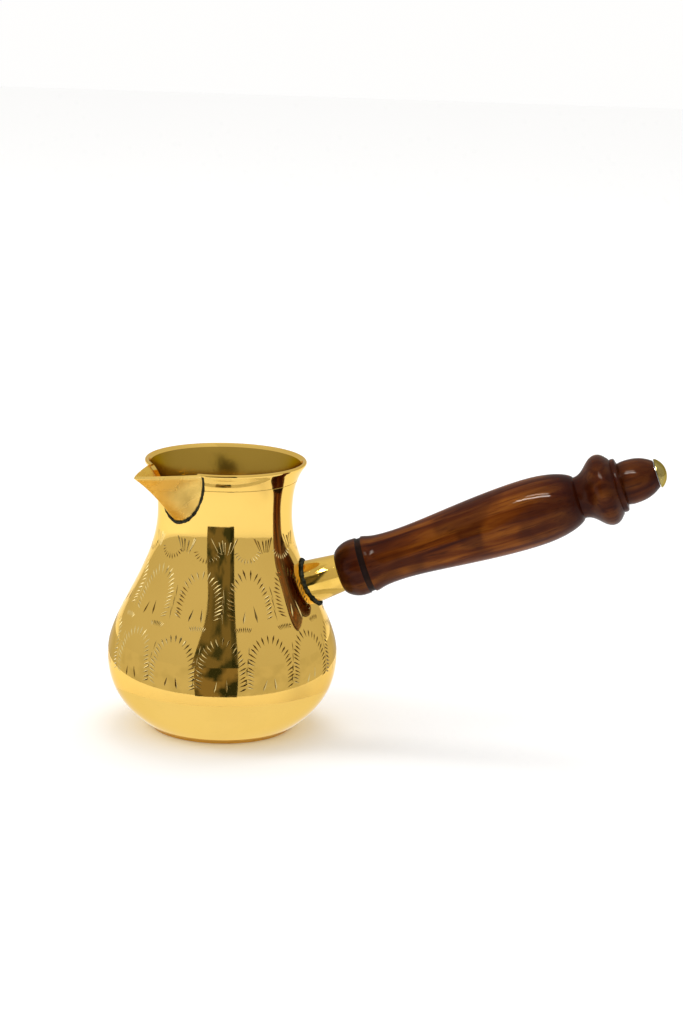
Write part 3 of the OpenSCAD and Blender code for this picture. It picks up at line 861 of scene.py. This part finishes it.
def engravePot(body):
    chisel = makeChisel(list(body.data.materials))
    low, mid, sprays = engraving["lowArches"], engraving["midArches"], engraving["sprays"]
    fan, gap = engraving["fan"], engraving["socketGap"]
    for i in range(low["count"]):
        middle = low["first"] + 360 / low["count"] * i
        cutArch(chisel, middle + jitter(0.8), low)
        half = 180 / low["count"] * math.radians(1) * 42
        cutLine(chisel, middle, low["foot"], half + jitter(0.4), 9, 5 + jitter(3), 15)
        for k in range(fan["ticks"]):       # a small fan over the gap between two arches
            lean = fan["spread"] * (k / (fan["ticks"] - 1) - 0.5)
            cutMark(chisel, middle, low["foot"],
                    half * fan["inset"] + fan["across"] * math.sin(math.radians(lean)),
                    fan["up"] + fan["rise"] * math.cos(math.radians(lean)),
                    lean + jitter(5), fan["length"], fan["width"], fan["depth"])
    for i in range(mid["count"]):
        middle = mid["first"] + 360 / mid["count"] * i
        if abs((middle + 180) % 360 - 180) > gap:
            cutArch(chisel, middle + jitter(0.8), mid)
        half = math.pi / mid["count"] * 32
        if abs((middle + 180 / mid["count"] + 180) % 360 - 180) > gap:
            cutLine(chisel, middle, mid["foot"], half + jitter(0.4), 6, -4 + jitter(3), 12)
    for i in range(sprays["count"]):
        cutSpray(chisel, sprays["first"] + 360 / sprays["count"] * i + jitter(1))
    clearSelection()
    for mark in marks:
        mark.select_set(True)
    bpy.context.view_layer.objects.active = marks[0]
    bpy.ops.object.join()
    cutter = bpy.context.object
    applyPlace(cutter)
    editPiece(cutter, "SELECT")
    bpy.ops.mesh.normals_make_consistent(inside=False)
    leaveEdit()
    bpy.data.objects.remove(chisel, do_unlink=True)
    applyBoolean(body, cutter)


def polishNormals(body):
    # the outside keeps the turned shape's own normals, and every cut keeps its flat sides
    lineZ = pot["rimHeight"] - pot["lineBelowRim"]
    normals = []
    for face in body.data.polygons:
        for corner in face.loop_indices:
            place = body.data.vertices[body.data.loops[corner].vertex_index].co
            height, radius = place.z / mm, math.hypot(place.x, place.y)
            if face.material_index == 0 and 1 < height < outerLine[-1][1] - 1 and abs(height - lineZ) > 0.3:
                up = smoothDirection(height)
                normals.append((up[1] * place.x / radius, up[1] * place.y / radius, -up[0]))
            else:
                normals.append((0, 0, 0))
    body.data.normals_split_custom_set(normals)


def makePot():
    body = turnPiece("brassPot", potOutline(), pot["stepsRound"])
    for name in ("polishedBrass", "shadedInsideBrass", "cutLine", "cutHighlight"):
        body.data.materials.append(makeMetal(name, finishes[name]))
    def isInside(face):
        place = face.center / mm
        radius = math.hypot(place.x, place.y)
        if place.z < 3:
            return place.z > 0.9 and radius < pot["baseDiameter"] / 2 - 1
        outward = Vector((place.x, place.y, 0)).normalized()
        wallMiddle = wallAt(min(place.z, outerLine[-1][1]))[0] - 0.9
        return place.z < pot["rimHeight"] - 1.3 and radius < wallMiddle and face.normal.dot(outward) < 0.3

    facing(body, isInside, 1)
    applyBoolean(body, makeNotchCutter())
    engravePot(body)
    smooth(body, 24)
    polishNormals(body)
    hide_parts("pot_body")
    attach(body, "pot")


makePot()


def keelAt(height):
    share = max(0.0, height - spoutLow) / (spoutTop - spoutLow)
    return wallAt(height)[0] + spout["reach"] * share ** spout["keelPower"]


def makeSpout():
    # the top row is traced from seam to seam, then drawn down and narrowed row by row
    rows = []
    for i in range(spout["rows"] + 1):
        turn = 90 - (90 - 5) * i / spout["rows"]
        angle, z = seamPoint(turn)
        seam = (wallAt(z)[0] * math.cos(math.radians(angle)), wallAt(z)[0] * math.sin(math.radians(angle)))
        rows.append((z, keelAt(z), keelAt(z) - seam[0], seam[1]))
    z, keel, depth, half = rows[0]
    clearSelection()
    bpy.ops.mesh.primitive_plane_add(size=mm, location=(0, 0, 0))
    piece = bpy.context.object
    piece.name = "brassSpout"
    bpy.ops.object.mode_set(mode="EDIT")
    bpy.ops.mesh.select_all(action="SELECT")
    bpy.ops.mesh.merge(type="CENTER")
    top = []
    for i in range(spout["columns"] + 1):
        v = -1 + 2 * i / spout["columns"]
        v = math.copysign(abs(v) ** 1.25, v)      # closer rows near the fold
        top.append(Vector((keel - depth * abs(v) ** spout["sidePower"], half * v, z)) * mm)
    bpy.ops.transform.translate(value=top[0])
    for here, there in zip(top, top[1:]):
        bpy.ops.mesh.extrude_vertices_move(TRANSFORM_OT_translate={"value": there - here})
    bpy.ops.mesh.select_all(action="SELECT")
    for above, below in zip(rows, rows[1:]):
        bpy.ops.mesh.extrude_region_move(
            TRANSFORM_OT_translate={"value": ((below[1] - above[1]) * mm, 0, (below[0] - above[0]) * mm)})
        bpy.ops.transform.resize(value=(below[2] / above[2], below[3] / above[3], 1),
                                 center_override=(below[1] * mm, 0, below[0] * mm))
    bpy.ops.mesh.select_all(action="SELECT")
    bpy.ops.mesh.normals_make_consistent(inside=False)
    leaveEdit()
    if sum((face.normal.x for face in piece.data.polygons)) < 0:
        editPiece(piece, "SELECT")
        bpy.ops.mesh.flip_normals()
        leaveEdit()
    thick = piece.modifiers.new("sheet", "SOLIDIFY")
    thick.thickness = spout["sheet"] * mm
    thick.offset = -1
    thick.use_even_offset = True
    edge = piece.modifiers.new("edge", "BEVEL")
    edge.width = 0.22 * mm
    edge.segments = 3
    edge.limit_method = "ANGLE"
    edge.angle_limit = math.radians(50)
    for change in ("sheet", "edge"):
        bpy.ops.object.modifier_apply(modifier=change)
    piece.rotation_euler = (0, 0, math.radians(spout["direction"]))
    applyPlace(piece)
    smooth(piece, 40)
    piece.data.materials.append(makeMetal("sheetBrass", finishes["sheetBrass"]))
    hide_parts("spout")
    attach(piece, "pot")


solder = dict(spoutBead=0.52, collarBead=0.85, uneven=0.42, stepsSpout=90, stepsCollar=96)


def makeBead(name, points, radius, closed, node):
    # a ring of section drawn from point to point along the seam
    clearSelection()
    bpy.ops.curve.primitive_bezier_curve_add()
    bead = bpy.context.object
    bead.name = name
    bead.data.splines.clear()
    line = bead.data.splines.new("POLY")
    line.points.add(len(points) - 1)
    drift = 0.0
    for knot, place in zip(line.points, points):
        drift = drift * 0.6 + jitter(solder["uneven"]) * 0.6
        knot.co = (*place, 1)
        knot.radius = 1 + drift
    line.use_cyclic_u = closed
    bead.data.dimensions = "3D"
    bead.data.bevel_depth = radius * mm
    bead.data.bevel_resolution = 3
    bead.data.use_fill_caps = True
    bpy.ops.object.convert(target="MESH")
    bead = bpy.context.object
    editPiece(bead, "SELECT")
    bpy.ops.mesh.remove_doubles(threshold=0.002 * mm)
    bpy.ops.mesh.normals_make_consistent(inside=False)
    leaveEdit()
    applyPlace(bead)
    smooth(bead, 60)
    bead.data.materials.append(solderFinish)
    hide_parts(node)
    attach(bead, "pot")


solderFinish = makeMetal("solderMetal", finishes["solderMetal"])


def makeSpoutSolder():
    points = []
    steps = solder["stepsSpout"]
    for i in range(steps + 1):
        turn = -89 + 178 * i / steps
        angle, z = seamPoint(turn, -0.25)
        a = math.radians(angle + spout["direction"])
        r = wallAt(z)[0] + 0.12
        points.append((r * math.cos(a) * mm, r * math.sin(a) * mm, z * mm))
    makeBead("spoutSolder", points, solder["spoutBead"], False, "spout_solder")


screwJoint = next(j for j in frame["record"]["behaviour"]["joints"] if j["name"] == "screw_turn")
handleAxis = Vector(screwJoint["axis"])
woodFace = Vector(screwJoint["pos_m"])


def placeOnHandle(piece):
    # from the lathe's upright axis to the handle's, with zero at the wood's front face
    piece.rotation_euler = (0, math.radians(90 - handle["rise"]), 0)
    piece.location = woodFace
    applyPlace(piece)


socket = dict(endDiameter=14.2, taper=0.2, spigotDiameter=13.2, spigotLength=6.0, bore=10.6, reachBack=20.0)


def makeSocket():
    end, back = socket["endDiameter"] / 2, socket["reachBack"]
    spigot, bore = socket["spigotDiameter"] / 2, socket["bore"] / 2
    root = end + socket["taper"] * back / 2
    outline = [(root, -back), (end + 0.02, -0.25), (end - 0.12, -0.03), (end - 0.3, 0), (spigot, 0),
               (spigot, socket["spigotLength"] - 0.5), (spigot - 0.5, socket["spigotLength"]),
               (bore + 0.3, socket["spigotLength"]), (bore, socket["spigotLength"] - 0.3), (bore, -back)]
    piece = turnPiece("handleSocket", outline, 128, closed=True)
    piece.data.materials.append(makeMetal("tubeBrass", finishes["tubeBrass"]))
    placeOnHandle(piece)
    filler = turnPiece("potFiller", [(0, 0)] + outerLine + [(0, outerLine[-1][1])], 192)
    applyBoolean(piece, filler)
    smooth(piece, 30)
    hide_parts("handle_socket")
    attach(piece, "pot")


def makeCollarSolder():
    # where the socket's cone meets the wall, found by walking out along the cone
    side = Vector((0, 1, 0))
    over = handleAxis.cross(side)
    points = []
    for i in range(solder["stepsCollar"]):
        a = math.tau * i / solder["stepsCollar"]
        low, high = -30.0, 0.0
        for _ in range(30):
            middle = (low + high) / 2
            radius = socket["endDiameter"] / 2 - socket["taper"] * middle / 2 + 0.2
            place = woodFace / mm + handleAxis * middle + (side * math.cos(a) + over * math.sin(a)) * radius
            if math.hypot(place.x, place.y) < wallAt(place.z)[0] + 0.15:
                low = middle
            else:
                high = middle
        points.append(place * mm)
    makeBead("socketSolder", points, solder["collarBead"], True, "socket_solder")


handle = dict(
    rise=20.3, length=122.5, bead=21.4, waist=18.6, grip=25.3, neck=15.9, ring=26.8, step=20.0,
    acorn=16.4, end=10.4, chamfer=0.3, grooveDepth=0.5, bore=5.8, seat=13.8, seatDepth=6.1,
    washerSeat=9.2, washerSeatDepth=0.5, barrelSeat=6.8, barrelDepth=9.0,
)


def woodOutline():
    # from the front face to the end, as [radius, place along the axis]
    h, c, long = handle, handle["chamfer"], handle["length"]
    bead, waist, grip, thin = h["bead"] / 2, h["waist"] / 2, h["grip"] / 2, h["neck"] / 2
    ring, step, acorn, end = h["ring"] / 2, h["step"] / 2, h["acorn"] / 2, h["end"] / 2
    face = socket["endDiameter"] / 2 + 0.5
    crease = step + 0.7
    points = curve((face, 0), (face + 1.1, 0.6), (bead, 3.2), (bead, 7), 16)
    points += [(bead - 0.03, 8.4), (bead - 0.1, 8.85), (bead - h["grooveDepth"], 9.25),
               (bead - h["grooveDepth"], 10.6)]
    points += curve((bead - 0.1, 11.2), (bead - 0.3, 13.5), (waist, 13.5), (waist, 22.5), 14)
    points += curve((waist, 22.5), (waist, 34.5), (grip, long - 68.2), (grip, long - 49.2), 26)[1:]
    points += curve((grip, long - 49.2), (grip, long - 34.7),
                    (thin + 0.8, long - 30.1), (thin + c, long - 29.9), 22)[1:]
    points += curve((thin - 0.1, long - 29.6), (thin, long - 25.1),
                    (ring, long - 23.9), (ring, long - 19.7), 24)
    points += curve((ring, long - 19.7), (ring, long - 17.5),
                    (crease + 0.9, long - 16.4), (crease, long - 15.5), 12)[1:]
    points += [(step, long - 15.15), (step + 0.12, long - 14.8), (step + 0.12, long - 13.9),
               (step, long - 13.6), (step - 0.3, long - 13.3)]
    points += curve((acorn - 0.35, long - 12.8), (acorn, long - 11.6),
                    (acorn, long - 10.7), (acorn, long - 9.7), 6)
    points += curve((acorn, long - 9.7), (acorn, long - 5.2),
                    (end + 1.6, long - 2.4), (end, long - 0.3), 16)[1:]
    return points + [(end - 0.15, long)]


def makeHandle():
    h, long = handle, handle["length"]
    inside = [(h["washerSeat"] / 2, long), (h["washerSeat"] / 2, long - h["washerSeatDepth"]),
              (h["barrelSeat"] / 2, long - h["washerSeatDepth"]),
              (h["barrelSeat"] / 2, long - h["barrelDepth"]), (h["bore"] / 2, long - h["barrelDepth"]),
              (h["bore"] / 2, h["seatDepth"]), (h["seat"] / 2, h["seatDepth"]), (h["seat"] / 2, 0.2),
              (h["seat"] / 2 + 0.2, 0)]
    piece = turnPiece("woodenHandle", woodOutline() + inside, 160, closed=True)
    burned = [face.index for face in piece.data.polygons
              if 8.7 < face.center.z / mm < 11.3 and math.hypot(face.center.x, face.center.y) / mm > 9]
    placeOnHandle(piece)
    smooth(piece, 28)
    piece.data.materials.append(makeWood("lacqueredWood", woodLook))
    char = dict(woodLook, dark=(0.012, 0.006, 0.005), middle=(0.02, 0.009, 0.007), light=(0.04, 0.016, 0.01),
                deep=(0.008, 0.004, 0.003), lacquer=0.1, lacquerRough=0.25)
    piece.data.materials.append(makeWood("burnedGroove", char))
    for index in burned:
        piece.data.polygons[index].material_index = 1
    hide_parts("wooden_handle")
    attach(piece, "handle")


screw = dict(capDiameter=10.9, capHeight=3.4, capRim=0.5, barrelDiameter=6.6, barrelLength=9.0, proud=0.3,
             washerOuter=8.8, washerInner=6.8, washer=0.8, rod=5.0, pitch=0.8, threadDepth=0.45, threaded=16,
             endGap=0.5, nutFrom=-4.4)


def makeWasher():
    high = handle["length"] + screw["proud"]
    low = high - screw["washer"]
    outer, inner = screw["washerOuter"] / 2, screw["washerInner"] / 2
    outline = [(inner, low), (outer - 0.1, low), (outer, low + 0.1), (outer, high - 0.1),
               (outer - 0.1, high), (inner, high)]
    piece = turnPiece("endWasher", outline, 96, closed=True)
    placeOnHandle(piece)
    smooth(piece, 30)
    piece.data.materials.append(makeMetal("zincWasher", finishes["zincSteel"]))
    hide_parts("end_washer")
    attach(piece, "handle")


def makeRod():
    # a plain shank, and a thread at the front made by screwing one tooth's outline round
    base = screw["nutFrom"]
    top = handle["length"] + screw["proud"] - screw["endGap"]
    radius, root = screw["rod"] / 2, screw["rod"] / 2 - screw["threadDepth"]
    pitch, turns = screw["pitch"], screw["threaded"]
    shankFrom = base + pitch * (turns - 1)
    shank = turnPiece("tieRod", [(0, base + 0.1), (root - 0.3, base + 0.1), (root + 0.02, base + 0.5),
                                 (root + 0.02, shankFrom - 0.5), (radius, shankFrom), (radius, top - 0.3),
                                 (radius - 0.3, top), (0, top)], 48)
    tooth = tracePiece("thread", [(root - 0.1, base + 0.15), (root, base + 0.15),
                                  (radius - 0.04, base + pitch * 0.45 + 0.1),
                                  (radius - 0.04, base + pitch * 0.55 + 0.1), (root, base + pitch + 0.05),
                                  (root - 0.1, base + pitch + 0.05)], closed=True)
    leaveEdit()
    helix = tooth.modifiers.new("helix", "SCREW")
    helix.screw_offset = pitch * mm
    helix.iterations = turns - 2
    helix.steps = 36
    helix.render_steps = 36
    helix.use_merge_vertices = True
    helix.merge_threshold = 0.001 * mm
    pick(tooth)
    bpy.ops.object.modifier_apply(modifier="helix")
    editPiece(tooth, "SELECT")
    bpy.ops.mesh.remove_doubles(threshold=0.002 * mm)
    bpy.ops.mesh.select_all(action="DESELECT")
    bpy.ops.mesh.select_non_manifold()
    bpy.ops.mesh.edge_face_add()
    bpy.ops.mesh.select_all(action="SELECT")
    bpy.ops.mesh.normals_make_consistent(inside=False)
    leaveEdit()
    clearSelection()
    tooth.select_set(True)
    shank.select_set(True)
    bpy.context.view_layer.objects.active = shank
    bpy.ops.object.join()
    placeOnHandle(shank)
    smooth(shank, 30)
    shank.data.materials.append(makeMetal("zincRod", finishes["zincSteel"]))
    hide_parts("tie_rod")
    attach(shank, "screw")


def makeCap():
    base = handle["length"] + screw["proud"]
    half, rim = screw["capDiameter"] / 2, screw["capRim"]
    rise = screw["capHeight"] - rim
    ball = (half**2 + rise**2) / (2 * rise)
    spread = math.asin(half / ball)
    dome = [(ball * math.sin(spread * (1 - i / 16)), base + screw["capHeight"]
             - ball * (1 - math.cos(spread * (1 - i / 16)))) for i in range(17)]
    barrel, rod = screw["barrelDiameter"] / 2, screw["rod"] / 2
    outline = ([(rod, base - screw["endGap"]), (rod, base - screw["barrelLength"]),
                (barrel - 0.3, base - screw["barrelLength"]), (barrel, base - screw["barrelLength"] + 0.3),
                (barrel, base), (half - 0.12, base), (half, base + 0.12), (half, base + rim - 0.1)]
               + dome[1:])
    piece = turnPiece("capNut", [(0, base - screw["endGap"])] + outline, 96)
    placeOnHandle(piece)
    smooth(piece, 30)
    piece.data.materials.append(makeMetal("capBrass", finishes["capBrass"]))
    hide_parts("cap_nut")
    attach(piece, "screw")


makeSpout()
makeSpoutSolder()
print("stage: spout and its solder")
makeSocket()
makeCollarSolder()
print("stage: socket and its solder")
makeHandle()
print("stage: wooden handle")
makeWasher()
makeRod()
makeCap()
print("stage: washer, rod and cap")

# the hidden nut keeps the frame's own shape
nut = frame["nodes"]["socket_nut"]
nutFinish = makeMetal("nutBrass", finishes["tubeBrass"])
for slot in nut.material_slots:
    slot.material = nutFinish
if not nut.material_slots:
    nut.data.materials.append(nutFinish)
